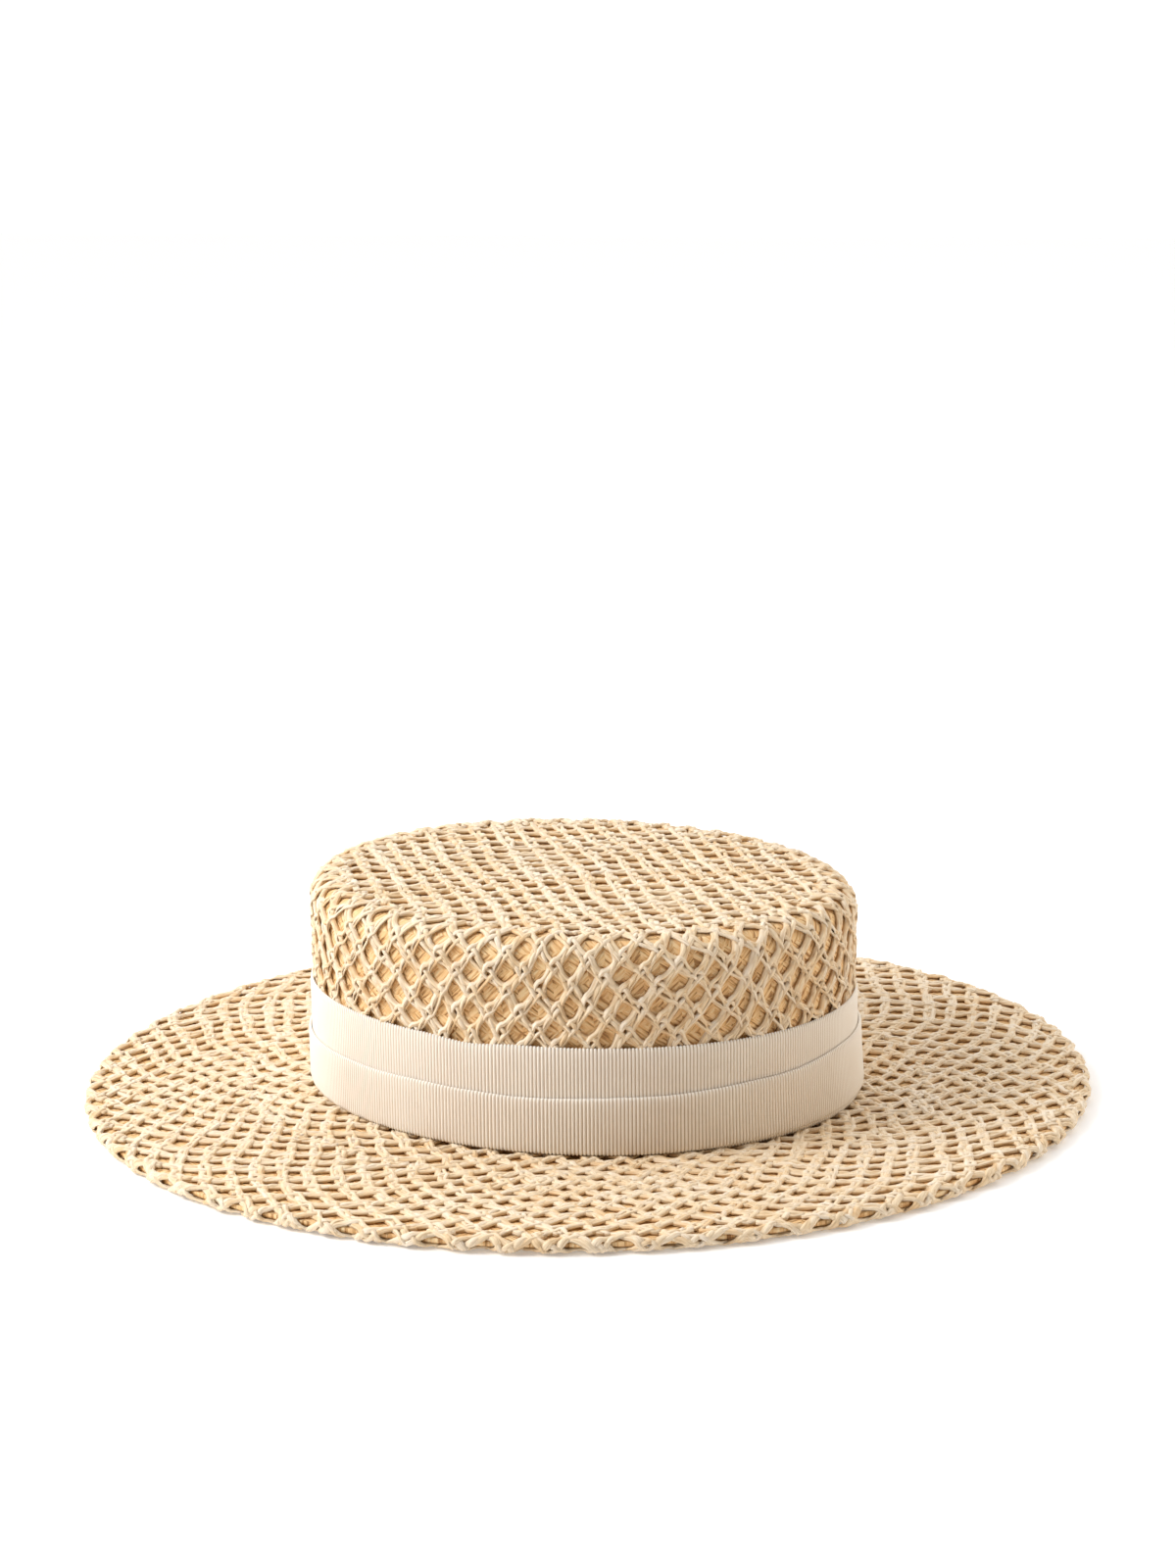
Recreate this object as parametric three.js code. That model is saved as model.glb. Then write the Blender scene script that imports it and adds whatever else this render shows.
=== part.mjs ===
// Straw boater hat: a close-woven tan straw body under an openwork net of pale straw, with a flat crown,
// a wide oval brim whose net is turned under at the edge, and a grosgrain ribbon wound twice round the crown.
// Millimetres, +Z up. The origin is the middle of the brim on the surface that the hat lies on.
// X runs along the long axis of the head oval, Y across it.
import * as THREE from 'three';

const { lerp, smoothstep, degToRad, radToDeg, euclideanModulo } = THREE.MathUtils;

// Head opening, inside the crown wall
const HEAD_LENGTH = 202;
const HEAD_WIDTH = 167;

// How far the crown stands off the middle of the brim, along X and along Y
const CROWN_ASIDE = -1.9;
const CROWN_FORWARD = -2.6;

// Walls and the gaps that pieces keep
const BASE_WALL = 1.6;
const NET_WALL = 1.4;
const HEM_WALL = 2; // the net is doubled where it turns under
const RIBBON_WALL = 1;
const SEAT_GAP = 0.3;

// Crown
const CROWN_HEIGHT = 85; // from the table to the top of the net, in the middle of the tip
const SHOULDER_RADIUS = 6; // of the inner face, where the wall turns into the tip
const CROWN_FLARE = 0.4; // how far the wall leans out on its way up
const ROOT_SLOPE = -0.012; // rise of the crown's root for each millimetre along X
const TIP_SLOPE = -0.018; // the same for the tip

// Brim
const BRIM_LENGTH = 388;
const BRIM_WIDTH = 345;
const BRIM_TURN = 17; // the brim's oval against the head's, in degrees
const ROOT_LIFT = 0.9; // underside of the tan brim at the crown, above the table
const HEM_REACH = 12; // width of the edge that is turned under
const EDGE_ROUND = 1.7; // rounding of the brim's outer edge

// Ribbon
const RIBBON_WIDTH = 40.5;

// How the ribbon lies at angles round the crown, 0 at +X and 270 at -Y. Fold is the height of the second
// turn's folded edge as a share of the ribbon's width, lift how far that turn's lower edge stays above the
// first's, as the same share. Flare and dent are shares of the ribbon's wall: how far its lower edge stands
// out, and how far its upper edge is pressed down.
const RIBBON_LAY = [
  { angle: 0, fold: 0.66, lift: 0.06, flare: 2.1, dent: 0 },
  { angle: 40, fold: 0.6, lift: 0.03, flare: 1.2, dent: 0 },
  { angle: 90, fold: 0.55, lift: 0.02, flare: 0.2, dent: 0 },
  { angle: 140, fold: 0.53, lift: 0.01, flare: 0.2, dent: 0 },
  { angle: 190, fold: 0.5, lift: 0.01, flare: 0, dent: 0 },
  { angle: 228, fold: 0.53, lift: 0.01, flare: 0.1, dent: 0 },
  { angle: 243, fold: 0.545, lift: 0.01, flare: 0.2, dent: 0 },
  { angle: 254, fold: 0.545, lift: 0.01, flare: 0.2, dent: 1.2 },
  { angle: 264, fold: 0.525, lift: 0.01, flare: 0.3, dent: 0 },
  { angle: 290, fold: 0.55, lift: 0.01, flare: 0.4, dent: 0 },
  { angle: 318, fold: 0.6, lift: 0.04, flare: 1.4, dent: 0 },
  { angle: 345, fold: 0.66, lift: 0.06, flare: 2, dent: 0 },
];

// Rows of gaps through the net, coarser and fewer than the real ones. Share is how much of the tip's oval,
// the bare wall or the brim's top the row takes, and open the size of a gap in its own room. Rows run
// outwards on the tip, from the shoulder to the ribbon, and from the crown to the hem.
const TIP_ROWS = [
  { share: 0.38, count: 8, open: 0.76 },
  { share: 0.4, count: 12, open: 0.8 },
];
const SIDE_ROWS = [
  { share: 0.5, count: 24, open: 0.8 },
  { share: 0.5, count: 24, open: 0.8 },
];
const BRIM_ROWS = [
  { share: 0.46, count: 24, open: 0.8 },
  { share: 0.54, count: 24, open: 0.8 },
];
const TIP_MIDDLE = 0.16; // whole middle of the tip, as a share of its oval
const BRIM_ROOT = 0.06; // whole strip of brim beside the crown, as a share of its width

const SEGMENTS = 48;
const RIBBON_SEGMENTS = 72;
const SHOULDER_STEPS = 3;

// Heights and offsets that follow. Offsets count from the head opening outwards, or from the tan brim's
// underside upwards.
const netOffset = BASE_WALL + SEAT_GAP;
const ribbonOffset = netOffset + NET_WALL + SEAT_GAP;
const secondTurnOffset = ribbonOffset + RIBBON_WALL + SEAT_GAP;
const brimBaseEdge = HEM_WALL + SEAT_GAP;
const edgeHeight = brimBaseEdge + netOffset + NET_WALL;
const rootTop = ROOT_LIFT + netOffset + NET_WALL; // top of the net where the brim meets the crown
const ribbonBottom = rootTop + SEAT_GAP;
const ribbonTop = ribbonBottom + RIBBON_WIDTH;
const shoulderStart = CROWN_HEIGHT - NET_WALL - netOffset - SHOULDER_RADIUS;

// A point of an oval with these half axes, turned in its plane.
function ovalPoint(halfLength, halfWidth, angle, turn = 0) {
  const x = halfLength * Math.cos(angle - turn);
  const y = halfWidth * Math.sin(angle - turn);
  return [x * Math.cos(turn) - y * Math.sin(turn), x * Math.sin(turn) + y * Math.cos(turn)];
}

// A point of the crown, out from the head opening and at height z. Size shrinks its oval on the tip.
function crownPoint(out, z, size, angle) {
  const rise = (z - rootTop) / (CROWN_HEIGHT - rootTop);
  const outset = out + CROWN_FLARE * Math.max(rise, 0);
  const oval = ovalPoint((HEAD_LENGTH / 2 + outset) * size, (HEAD_WIDTH / 2 + outset) * size, angle);
  const x = oval[0] + CROWN_ASIDE;
  return new THREE.Vector3(x, oval[1] + CROWN_FORWARD, z + x * lerp(ROOT_SLOPE, TIP_SLOPE, rise));
}

// A face of the crown's wall, offset from the head opening. A station of it has turn, 90 on the tip and 0 on
// the side, size, the share of the tip's oval, and drop, the way down from the shoulder.
const crownFace = (offset) => ({ turn, size, drop }, angle) => {
  const reach = SHOULDER_RADIUS + offset;
  const out = reach * Math.cos(degToRad(turn)) - SHOULDER_RADIUS;
  return crownPoint(out, shoulderStart + reach * Math.sin(degToRad(turn)) - drop, size, angle);
};

// The brim rises from the crown to the hem in an easy curve, and is level over the hem. Place is 0 at the
// head opening and 1 at the brim's edge.
const hemPlace = 1 - HEM_REACH / ((BRIM_WIDTH - HEAD_WIDTH) / 2);
const brimEase = (place) => smoothstep(place, 0, hemPlace);
const brimStation = (place) => ({ place, z: lerp(ROOT_LIFT, brimBaseEdge, brimEase(place)) });

// A point of the brim, between the head opening set out by root and the brim's edge set in by edge.
function brimPoint(place, root, edge, z, angle) {
  const [x0, y0] = ovalPoint(HEAD_LENGTH / 2 + root, HEAD_WIDTH / 2 + root, angle);
  const [x1, y1] = ovalPoint(BRIM_LENGTH / 2 - edge, BRIM_WIDTH / 2 - edge, angle, degToRad(BRIM_TURN));
  const x = lerp(x0 + CROWN_ASIDE, x1, place);
  const y = lerp(y0 + CROWN_FORWARD, y1, place);
  return new THREE.Vector3(x, y, z + x * ROOT_SLOPE * (1 - brimEase(place)));
}

const brimFace = (root, offset) => ({ place, z }, angle) =>
  brimPoint(place, root, EDGE_ROUND, z + offset, angle);

function geometryOf(points, faces) {
  const numbers = new Float32Array(points.flatMap((point) => point.toArray()));
  const geometry = new THREE.BufferGeometry();
  geometry.setAttribute('position', new THREE.BufferAttribute(numbers, 3));
  geometry.setIndex(faces);
  return geometry;
}

// A closed band: a section's corners, each carried round the oval, and the last joined to the first.
function bandBody(section, pointOf, segments) {
  const points = section.flatMap((corner) =>
    Array.from({ length: segments }, (_, i) => pointOf(corner, (i / segments) * 2 * Math.PI)));
  const faces = [];
  section.forEach((_, k) => {
    const low = k * segments;
    const high = ((k + 1) % section.length) * segments;
    for (let i = 0; i < segments; i++) {
      const j = (i + 1) % segments;
      faces.push(low + i, low + j, high + i, low + j, high + j, high + i);
    }
  });
  return geometryOf(points, faces);
}

// Every number of a table's row, part of the way from one row to the next.
function between(from, to, share) {
  return Object.fromEntries(Object.keys(from).map((key) => [key, lerp(from[key], to[key], share)]));
}

// Corners of a gap in a room that spans -1 to 1 both ways: along the oval, and across it.
const GAP_CORNERS = [
  { along: 1, across: 0 },
  { along: 0.5, across: 1 },
  { along: -0.5, across: 1 },
  { along: -1, across: 0 },
  { along: -0.5, across: -1 },
  { along: 0.5, across: -1 },
];

// Triangles between a loop and a smaller one inside it. Each point of a loop has its index and its bearing
// from the middle, and both loops are in the order of their bearings.
function stitchLoops(outer, inner) {
  const bearingAt = (loop, k) => loop[k % loop.length].bearing + (k < loop.length ? 0 : 2 * Math.PI);
  const triangles = [];
  let i = 0;
  let j = 0;
  while (i < outer.length || j < inner.length) {
    const a = outer[i % outer.length].index;
    const b = inner[j % inner.length].index;
    const outerNext = j === inner.length || bearingAt(outer, i + 1) <= bearingAt(inner, j + 1);
    if (i < outer.length && outerNext) {
      i++;
      triangles.push([a, outer[i % outer.length].index, b]);
    } else {
      j++;
      triangles.push([a, inner[j % inner.length].index, b]);
    }
  }
  return triangles;
}

// A wall with two faces through a list of stations, with rows of gaps cut through it. Outside and inside
// give a face's point at a station and an angle. A first station of size 0 is a pole, and any other first
// or last station is a rim. A station's row holds the gaps between it and the next one.
function wallBody(stations, outside, inside) {
  const points = [];
  const faces = [];
  // Points come in pairs, outside and inside, so each triangle outside has its like inside.
  const addPair = (shape, angle) => points.push(outside(shape, angle), inside(shape, angle)) - 2;
  const addTriangles = (a, b, c) => faces.push(a, b, c, a + 1, c + 1, b + 1);
  const isPole = (shape) => shape.size === 0;
  const rings = stations.map(({ shape }) => {
    if (isPole(shape)) return Array(SEGMENTS).fill(addPair(shape, 0));
    return Array.from({ length: SEGMENTS }, (_, i) => addPair(shape, (i / SEGMENTS) * 2 * Math.PI));
  });
  const on = (ring, i) => ring[euclideanModulo(i, SEGMENTS)];

  const addPlainBand = (from, to, fromPole) => {
    for (let i = 0; i < SEGMENTS; i++) {
      addTriangles(on(from, i), on(to, i), on(to, i + 1));
      if (!fromPole) addTriangles(on(from, i), on(to, i + 1), on(from, i + 1));
    }
  };

  // A room of the net between two rings, from its first segment, with a gap in its middle.
  const addRoom = (k, first, span, open) => {
    const bearing = (along, across) => Math.atan2(along, across);
    const room = Array.from({ length: span + 1 }, (_, i) => (2 * i) / span - 1).flatMap((along, i) => [
      { index: on(rings[k], first + i), bearing: bearing(along, -1) },
      { index: on(rings[k + 1], first + i), bearing: bearing(along, 1) },
    ]);
    const gap = GAP_CORNERS.map(({ along, across }) => {
      const shape = between(stations[k].shape, stations[k + 1].shape, 0.5 + 0.5 * across * open);
      const angle = ((first + span * (0.5 + 0.5 * along * open)) / SEGMENTS) * 2 * Math.PI;
      return { index: addPair(shape, angle), bearing: bearing(along, across) };
    });
    room.sort((a, b) => a.bearing - b.bearing);
    gap.sort((a, b) => a.bearing - b.bearing);
    stitchLoops(room, gap).forEach(([a, b, c]) => addTriangles(a, b, c));
    gap.forEach(({ index }, i) => {
      const next = gap[(i + 1) % gap.length].index;
      faces.push(index, next, index + 1, next, next + 1, index + 1);
    });
  };

  for (let k = 0; k < stations.length - 1; k++) {
    const { shape, row } = stations[k];
    if (!row) {
      addPlainBand(rings[k], rings[k + 1], isPole(shape));
      continue;
    }
    const span = SEGMENTS / row.count;
    const shift = (k % 2) * (span / 2); // every other row is turned by half a room
    for (let n = 0; n < row.count; n++) addRoom(k, n * span + shift, span, row.open);
  }
  const addRim = (a, b) => faces.push(a, a + 1, b, b, a + 1, b + 1);
  for (let i = 0; i < SEGMENTS; i++) {
    if (!isPole(stations[0].shape)) addRim(on(rings[0], i + 1), on(rings[0], i));
    addRim(on(rings.at(-1), i), on(rings.at(-1), i + 1));
  }
  return geometryOf(points, faces);
}

// Stations of the crown: the tip, the shoulder's arc, the bare wall above the ribbon, and the rest of it.
function crownStations(bottom, tipRows, sideRows) {
  const stations = [{ shape: { turn: 90, size: 0, drop: 0 } }];
  let size = TIP_MIDDLE;
  for (const row of tipRows) {
    stations.push({ shape: { turn: 90, size, drop: 0 }, row });
    size += row.share;
  }
  if (tipRows.length > 0) stations.push({ shape: { turn: 90, size, drop: 0 } });
  for (let i = 0; i < SHOULDER_STEPS; i++) {
    stations.push({ shape: { turn: 90 * (1 - i / SHOULDER_STEPS), size: 1, drop: 0 } });
  }
  let drop = 0;
  for (const row of sideRows) {
    stations.push({ shape: { turn: 0, size: 1, drop }, row });
    drop += row.share * (shoulderStart - ribbonTop);
  }
  stations.push({ shape: { turn: 0, size: 1, drop } });
  stations.push({ shape: { turn: 0, size: 1, drop: shoulderStart - bottom } });
  return stations;
}

function crownBase() {
  const bottom = ROOT_LIFT + BASE_WALL + SEAT_GAP;
  return wallBody(crownStations(bottom, [], []), crownFace(BASE_WALL), crownFace(0));
}

function crownNet() {
  const stations = crownStations(rootTop + SEAT_GAP, TIP_ROWS, SIDE_ROWS);
  return wallBody(stations, crownFace(netOffset + NET_WALL), crownFace(netOffset));
}

// Stations of the brim: a plain strip beside the crown, the rows of gaps, and the plain strip over the hem.
function brimStations(cut) {
  const stations = [{ shape: brimStation(0) }];
  let place = BRIM_ROOT;
  for (const row of BRIM_ROWS) {
    stations.push({ shape: brimStation(place), row: cut && row });
    place += row.share * (hemPlace - BRIM_ROOT);
  }
  stations.push({ shape: brimStation(place) }, { shape: brimStation(1) });
  return stations;
}

function brimBase() {
  return wallBody(brimStations(false), brimFace(0, BASE_WALL), brimFace(0, 0));
}

function brimNet() {
  return wallBody(brimStations(true), brimFace(netOffset, netOffset + NET_WALL), brimFace(netOffset, netOffset));
}

// The net turned round the edge: up the outside, and in along the underside as a hem.
function brimEdge() {
  const seam = EDGE_ROUND - SEAT_GAP; // the brim's upper layers end just inside this
  const chamfer = EDGE_ROUND * 0.3;
  const section = [
    { edge: HEM_REACH, z: 0 },
    { edge: EDGE_ROUND, z: 0 },
    { edge: chamfer, z: chamfer },
    { edge: 0, z: EDGE_ROUND },
    { edge: 0, z: edgeHeight - EDGE_ROUND },
    { edge: chamfer, z: edgeHeight - chamfer },
    { edge: seam, z: edgeHeight },
    { edge: seam, z: HEM_WALL },
    { edge: HEM_REACH, z: HEM_WALL },
  ];
  return bandBody(section, ({ edge, z }, angle) => brimPoint(1, 0, edge, z, angle), SEGMENTS);
}

// The ribbon's lay at an angle, eased between the rows of the table.
function layAt(angle) {
  const degrees = euclideanModulo(radToDeg(angle), 360);
  const next = RIBBON_LAY.findIndex((row) => row.angle > degrees);
  const after = next < 0 ? { ...RIBBON_LAY[0], angle: 360 } : RIBBON_LAY[next];
  const before = RIBBON_LAY[(next < 0 ? RIBBON_LAY.length : next) - 1];
  return between(before, after, smoothstep(degrees, before.angle, after.angle));
}

// A ribbon's point: up is the share of its width above the lower edge, out the way from the head opening.
function ribbonPoint(up, out, angle) {
  const { flare, dent } = layAt(angle);
  const flared = out + RIBBON_WALL * flare * (1 - up) ** 2;
  const z = ribbonBottom + RIBBON_WIDTH * up - RIBBON_WALL * dent * up ** 2;
  return crownPoint(flared, z, 1, angle);
}

function ribbonFirstTurn() {
  const outer = ribbonOffset + RIBBON_WALL;
  const section = [
    { up: 0, out: outer },
    { up: 0.5, out: outer },
    { up: 1, out: outer },
    { up: 1, out: ribbonOffset },
    { up: 0.5, out: ribbonOffset },
    { up: 0, out: ribbonOffset },
  ];
  return bandBody(section, ({ up, out }, angle) => ribbonPoint(up, out, angle), RIBBON_SEGMENTS);
}

// The second turn lies over the lower half of the first, and its upper edge is a rounded fold.
function ribbonSecondTurn() {
  const outer = secondTurnOffset + RIBBON_WALL;
  const section = [
    { share: 0, out: outer },
    { share: 0.95, out: outer },
    { share: 1, out: lerp(secondTurnOffset, outer, 0.6) },
    { share: 1, out: secondTurnOffset },
    { share: 0, out: secondTurnOffset },
  ];
  const pointOf = ({ share, out }, angle) => {
    const { fold, lift } = layAt(angle);
    return ribbonPoint(lerp(lift, fold, share), out, angle);
  };
  return bandBody(section, pointOf, RIBBON_SEGMENTS);
}

const material = (color, roughness) => new THREE.MeshStandardMaterial({ color, roughness, metalness: 0 });
const tanStraw = material(0xd2a878, 0.75);
const paleStraw = material(0xe8dcb8, 0.7);
const grosgrain = material(0xecdcca, 0.6);

function piece(name, geometry, finish) {
  geometry.computeVertexNormals();
  const mesh = new THREE.Mesh(geometry, finish);
  mesh.name = name;
  return mesh;
}

const hat = new THREE.Group();
hat.add(
  piece('crown_base', crownBase(), tanStraw),
  piece('brim_base', brimBase(), tanStraw),
  piece('crown_net', crownNet(), paleStraw),
  piece('brim_net', brimNet(), paleStraw),
  piece('brim_edge', brimEdge(), paleStraw),
  piece('ribbon_first_turn', ribbonFirstTurn(), grosgrain),
  piece('ribbon_second_turn', ribbonSecondTurn(), grosgrain),
);

export default hat;
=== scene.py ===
"""Straw boater hat: the woven straw body, the openwork net over it, and the grosgrain ribbon.

Lengths are in millimetres until a mesh is made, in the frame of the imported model: +Z up, the origin under
the middle of the brim, X along the long axis of the head oval.
"""
import math

import bpy
import numpy as np
from mathutils import Matrix, Vector


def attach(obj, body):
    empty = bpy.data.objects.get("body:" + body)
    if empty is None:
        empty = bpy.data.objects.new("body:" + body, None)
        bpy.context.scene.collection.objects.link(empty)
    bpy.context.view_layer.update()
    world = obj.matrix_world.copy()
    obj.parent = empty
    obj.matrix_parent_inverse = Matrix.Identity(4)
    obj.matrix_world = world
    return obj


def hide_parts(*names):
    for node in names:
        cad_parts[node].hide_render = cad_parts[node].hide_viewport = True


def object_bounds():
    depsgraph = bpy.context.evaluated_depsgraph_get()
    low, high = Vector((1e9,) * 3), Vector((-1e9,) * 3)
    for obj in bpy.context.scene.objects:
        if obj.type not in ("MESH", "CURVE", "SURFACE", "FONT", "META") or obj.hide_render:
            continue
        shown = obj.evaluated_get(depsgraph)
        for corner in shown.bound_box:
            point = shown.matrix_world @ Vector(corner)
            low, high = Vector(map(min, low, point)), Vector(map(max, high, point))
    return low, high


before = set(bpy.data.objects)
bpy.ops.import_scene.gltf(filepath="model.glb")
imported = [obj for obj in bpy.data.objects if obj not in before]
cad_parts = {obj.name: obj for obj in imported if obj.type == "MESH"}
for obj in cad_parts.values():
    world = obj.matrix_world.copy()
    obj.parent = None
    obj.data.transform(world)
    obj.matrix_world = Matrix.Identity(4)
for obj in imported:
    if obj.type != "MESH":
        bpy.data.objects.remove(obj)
cad_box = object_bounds()

MM = 0.001
TURN = 2 * math.pi
CAMERA_TURN = math.radians(8.852)  # the photo looks along Y turned by this

# Sizes of the hat

HEAD_LENGTH, HEAD_WIDTH = 202.0, 167.0
CROWN_ASIDE, CROWN_FORWARD = -1.9, -2.6  # place of the head oval's middle
BASE_WALL, NET_WALL, HEM_WALL, RIBBON_WALL, SEAT_GAP = 1.6, 1.4, 2.0, 1.0, 0.3
CROWN_HEIGHT = 85.0
SHOULDER_RADIUS = 6.0
CROWN_FLARE = 0.4  # how far the side leans out on its way up
ROOT_SLOPE, TIP_SLOPE = -0.012, -0.018  # rise along X
BRIM_LENGTH, BRIM_WIDTH = 388.0, 345.0
BRIM_TURN = math.radians(17)  # of the brim's long axis from X
ROOT_LIFT = 0.9  # height of the tan brim's underside at the crown
HEM_REACH = 12.0
EDGE_ROUND = 1.7  # from the brim's outline to the edge of the tan brim
RIBBON_WIDTH = 40.5

# How the ribbon lies at angles round the crown, 0 at +X and 270 at -Y: fold and lift are shares of the
# ribbon's width, flare and dent shares of its wall.
RIBBON_LAY = np.array([
    (0, 0.66, 0.06, 2.1, 0),
    (40, 0.6, 0.03, 1.2, 0),
    (90, 0.55, 0.02, 0.2, 0),
    (140, 0.53, 0.01, 0.2, 0),
    (190, 0.5, 0.01, 0, 0),
    (228, 0.53, 0.01, 0.1, 0),
    (243, 0.545, 0.01, 0.2, 0),
    (254, 0.545, 0.01, 0.2, 1.2),
    (264, 0.525, 0.01, 0.3, 0),
    (290, 0.55, 0.01, 0.4, 0),
    (318, 0.6, 0.04, 1.4, 0),
    (345, 0.66, 0.06, 2, 0),
    (360, 0.66, 0.06, 2.1, 0),
], dtype=[(name, float) for name in ("angle", "fold", "lift", "flare", "dent")])

# Offsets from the head opening, and heights above the table

NET_OFFSET = BASE_WALL + SEAT_GAP
NET_MIDDLE = NET_OFFSET + NET_WALL / 2
RIBBON_OFFSET = NET_OFFSET + NET_WALL + SEAT_GAP
SECOND_TURN_OFFSET = RIBBON_OFFSET + RIBBON_WALL + SEAT_GAP
BRIM_BASE_EDGE = HEM_WALL + SEAT_GAP
ROOT_TOP = ROOT_LIFT + NET_OFFSET + NET_WALL
RIBBON_BOTTOM = ROOT_TOP + SEAT_GAP
RIBBON_TOP = RIBBON_BOTTOM + RIBBON_WIDTH
SHOULDER_START = CROWN_HEIGHT - NET_WALL - NET_OFFSET - SHOULDER_RADIUS
HEM_PLACE = 1 - HEM_REACH / ((BRIM_WIDTH - HEAD_WIDTH) / 2)
TIP_HALF_LENGTH = HEAD_LENGTH / 2 - SHOULDER_RADIUS + CROWN_FLARE
TIP_HALF_WIDTH = HEAD_WIDTH / 2 - SHOULDER_RADIUS + CROWN_FLARE
ROUND_LENGTH = math.pi * (HEAD_LENGTH + HEAD_WIDTH) / 2  # once round the head opening


def smoothstep(x, low, high):
    """Eases from 0 at low to 1 at high."""
    t = np.clip((x - low) / (high - low), 0, 1)
    return t * t * (3 - 2 * t)


def mix(a, b, share):
    return a + (b - a) * share


# Surfaces of the hat


def crown_point(out, z, size, angle):
    """The head oval, set out by out and leaning out on its way up, scaled by size and lifted by the lean."""
    rise = (z - ROOT_TOP) / (CROWN_HEIGHT - ROOT_TOP)
    outset = out + CROWN_FLARE * np.maximum(rise, 0)
    x = (HEAD_LENGTH / 2 + outset) * size * np.cos(angle) + CROWN_ASIDE
    y = (HEAD_WIDTH / 2 + outset) * size * np.sin(angle) + CROWN_FORWARD
    return np.stack([x, y, z + x * mix(ROOT_SLOPE, TIP_SLOPE, rise)], axis=-1)


def crown_skin(offset, size, run, angle):
    """A face of the crown: size runs out over the tip, and run is the way on from there, round the
    shoulder's quarter circle and straight down the side."""
    reach = SHOULDER_RADIUS + offset
    bend = np.clip(run / reach, 0, math.pi / 2)
    drop = np.maximum(run - reach * math.pi / 2, 0)
    out = reach * np.sin(bend) - SHOULDER_RADIUS
    return crown_point(out, SHOULDER_START + reach * np.cos(bend) - drop, size, angle)


def over_crown(flat, offset):
    """The place of a point of a flat net that lies on the tip, and beyond the tip's oval goes down round
    the shoulder and the side."""
    x, y = flat[..., 0], flat[..., 1]
    size = np.hypot(x / TIP_HALF_LENGTH, y / TIP_HALF_WIDTH)
    angle = np.arctan2(y / TIP_HALF_WIDTH, x / TIP_HALF_LENGTH)
    radius = np.hypot(TIP_HALF_LENGTH * np.cos(angle), TIP_HALF_WIDTH * np.sin(angle))
    return crown_skin(offset, np.minimum(size, 1), np.maximum(size - 1, 0) * radius, angle)


def brim_height(x, place):
    """Underside of the tan brim: an easy rise from the crown to the hem, with the root's slope fading."""
    ease = smoothstep(place, 0, HEM_PLACE)
    return mix(ROOT_LIFT, BRIM_BASE_EDGE, ease) + x * ROOT_SLOPE * (1 - ease)


def brim_oval(angle, edge):
    """The brim's outline, set in by edge."""
    x = (BRIM_LENGTH / 2 - edge) * np.cos(angle - BRIM_TURN)
    y = (BRIM_WIDTH / 2 - edge) * np.sin(angle - BRIM_TURN)
    cos, sin = math.cos(BRIM_TURN), math.sin(BRIM_TURN)
    return x * cos - y * sin, x * sin + y * cos


def brim_skin(edge, offset, place, angle):
    """Straight from the head oval to the brim's outline set in by edge."""
    x0 = HEAD_LENGTH / 2 * np.cos(angle) + CROWN_ASIDE
    y0 = HEAD_WIDTH / 2 * np.sin(angle) + CROWN_FORWARD
    x1, y1 = brim_oval(angle, edge)
    x = mix(x0, x1, place)
    return np.stack([x, mix(y0, y1, place), brim_height(x, place) + offset], axis=-1)


# Making meshes


def make_piece(name, points, faces, node, material, uv, tone_and_painted_light=None, around=None):
    """A mesh object at the origin from quads of points in millimetres, riding on the hat in place of a node.
    Where the pattern goes round the hat, around is its length, and the quads at its seam carry on past it."""
    mesh = bpy.data.meshes.new(name)
    mesh.from_pydata((points.reshape(-1, 3) * MM).tolist(), [], faces.tolist())
    corners = uv.reshape(-1, 2)[faces]
    if around:
        past = corners[..., 0].max(axis=1, keepdims=True) - corners[..., 0] > around / 2
        corners[..., 0] += around * past
    layer = mesh.uv_layers.new(name="weave")
    layer.data.foreach_set("uv", corners.astype(np.float32).ravel())
    if tone_and_painted_light is not None:
        attribute = mesh.attributes.new("tone_and_painted_light", "FLOAT", "POINT")
        attribute.data.foreach_set("value", tone_and_painted_light.astype(np.float32).ravel())
    mesh.polygons.foreach_set("use_smooth", np.ones(len(mesh.polygons), dtype=bool))
    mesh.materials.append(material)
    mesh.update()
    piece = bpy.data.objects.new(name, mesh)
    bpy.context.scene.collection.objects.link(piece)
    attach(piece, "root")
    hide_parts(node)
    return piece


def ring_faces(rows, columns, closed):
    """Quads of a grid whose columns go round, and whose last row joins the first where it is closed."""
    r = np.arange(rows if closed else rows - 1)[:, None]
    c = np.arange(columns)[None, :]
    low, high = r * columns, ((r + 1) % rows) * columns
    near, far = c, (c + 1) % columns
    return np.stack([low + near, low + far, high + far, high + near], axis=-1).reshape(-1, 4)


def angles_round(count):
    """A row of even angles round the hat."""
    return np.arange(count)[None, :] / count * TURN


# Materials

BLACK, WHITE = (0, 0, 0), (1, 1, 1)


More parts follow.
